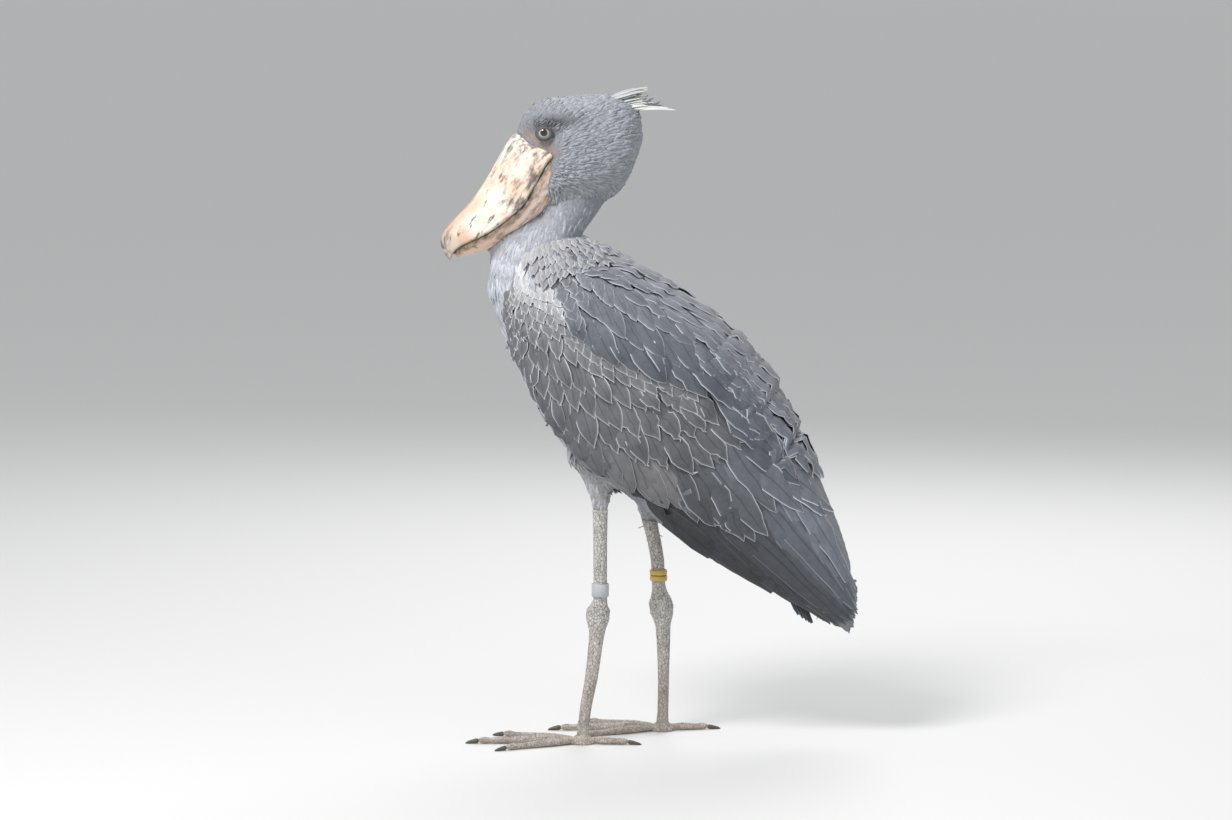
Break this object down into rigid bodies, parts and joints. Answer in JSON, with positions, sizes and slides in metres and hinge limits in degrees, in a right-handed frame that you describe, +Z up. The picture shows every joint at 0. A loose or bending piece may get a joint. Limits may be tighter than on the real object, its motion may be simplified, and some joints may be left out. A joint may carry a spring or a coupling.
{
  "type": "shoebill",
  "caption": "Life-size shoebill standing at rest, head drawn in and heavy hooked bill on its breast, wings folded, a ring on each leg.",
  "frame": {"origin": "on the ground, at the middle of the standing bird's outline", "axes": "+X towards the bird's tail, +Y towards the bird's right side, +Z up; the bird looks along -X"},
  "size_m": [0.6791, 0.2984, 1.0645],
  "materials": {
    "breast_feather": "matte",
    "head_feather": "matte",
    "wing_feather": "matte",
    "flight_feather": "matte",
    "horn": "satin",
    "eye": "gloss",
    "leg_skin": "matte",
    "claw": "satin",
    "band_grey": "satin",
    "band_yellow": "satin"
  },
  "bodies": {
    "root": {"torso": "breast_feather", "neck": "breast_feather", "head": "head_feather", "crest": "head_feather", "eye_left": "eye", "eye_right": "eye", "beak_upper": "horn", "beak_lower": "horn", "wing_left": "wing_feather", "wing_right": "wing_feather", "tail": "flight_feather", "ring_left": "band_grey", "ring_right_upper": "band_yellow", "ring_right_lower": "band_yellow", "thigh_left": "breast_feather", "shank_left": "leg_skin", "hock_left": "leg_skin", "tarsus_left": "leg_skin", "foot_left": "leg_skin", "toe_left_middle": "leg_skin", "claw_left_middle": "claw", "toe_left_inner": "leg_skin", "claw_left_inner": "claw", "toe_left_outer": "leg_skin", "claw_left_outer": "claw", "toe_left_hind": "leg_skin", "claw_left_hind": "claw", "thigh_right": "breast_feather", "shank_right": "leg_skin", "hock_right": "leg_skin", "tarsus_right": "leg_skin", "foot_right": "leg_skin", "toe_right_middle": "leg_skin", "claw_right_middle": "claw", "toe_right_inner": "leg_skin", "claw_right_inner": "claw", "toe_right_outer": "leg_skin", "claw_right_outer": "claw", "toe_right_hind": "leg_skin", "claw_right_hind": "claw"}
  },
  "joints": []
}
